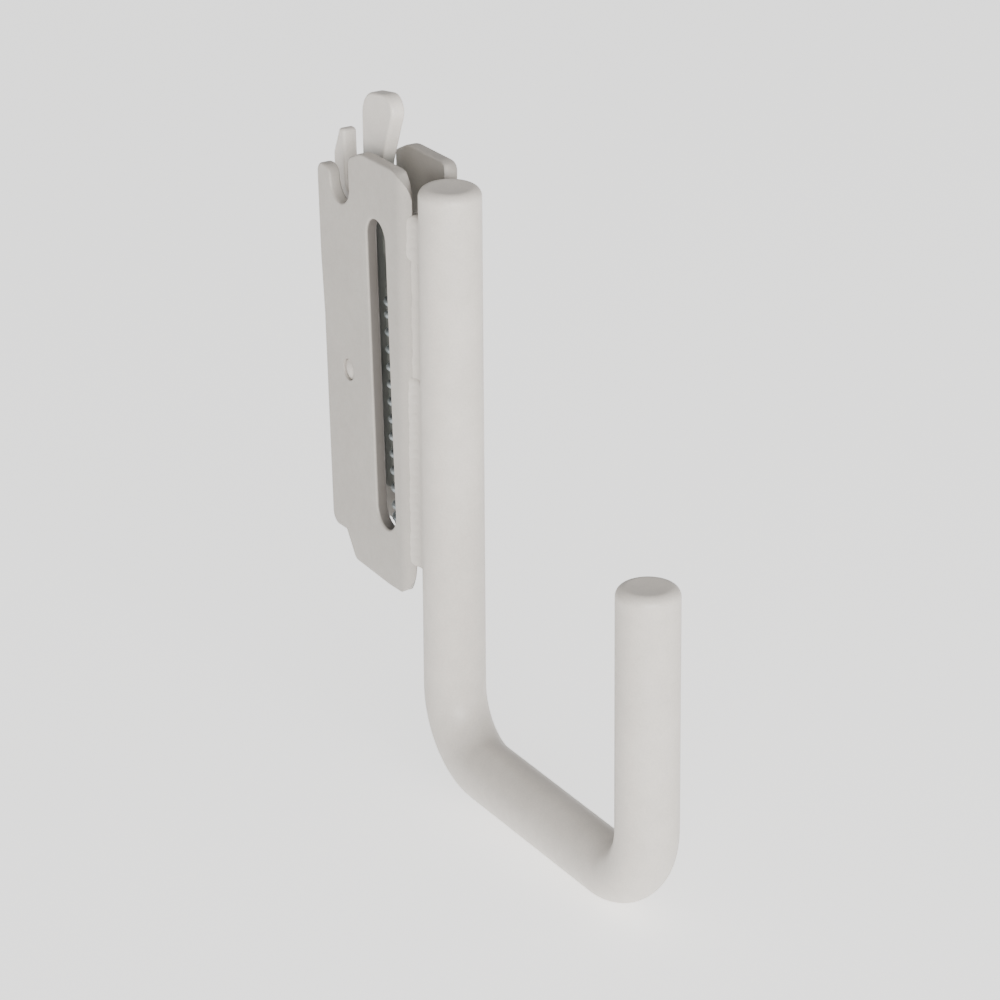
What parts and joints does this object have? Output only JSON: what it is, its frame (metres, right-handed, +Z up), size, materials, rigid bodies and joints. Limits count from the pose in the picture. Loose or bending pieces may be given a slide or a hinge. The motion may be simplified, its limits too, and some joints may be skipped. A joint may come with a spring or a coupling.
{
  "type": "slotted rail j hook",
  "caption": "J-shaped rod hook welded to a folded sheet fitting whose sprung thumb latch clips it into a slot of a steel rail.",
  "frame": {"origin": "centre of the rail slot, in the plane of the rail's outer face, on the fitting's mid-plane", "axes": "+X across the fitting, +Y towards the wall, +Z up"},
  "size_m": [0.0104, 0.0978, 0.111],
  "materials": {
    "powder_coat": "satin",
    "coated_weld": "satin",
    "zinc_spring": "satin"
  },
  "bodies": {
    "body": {"channel_body": "powder_coat", "hook_rod": "powder_coat", "weld_beads": "coated_weld", "weld_tacks": "coated_weld", "latch_pin": "powder_coat", "latch_spring": "zinc_spring"},
    "latch": {"latch_plate": "powder_coat"}
  },
  "joints": [
    {"name": "latch_slide", "type": "slide", "parent": "body", "child": "latch", "axis": [0, 0, -1], "range_m": [0, 0.006], "stiffness_N_per_m": 600, "springref_m": -0.01, "deforming": ["latch_spring"]}
  ]
}
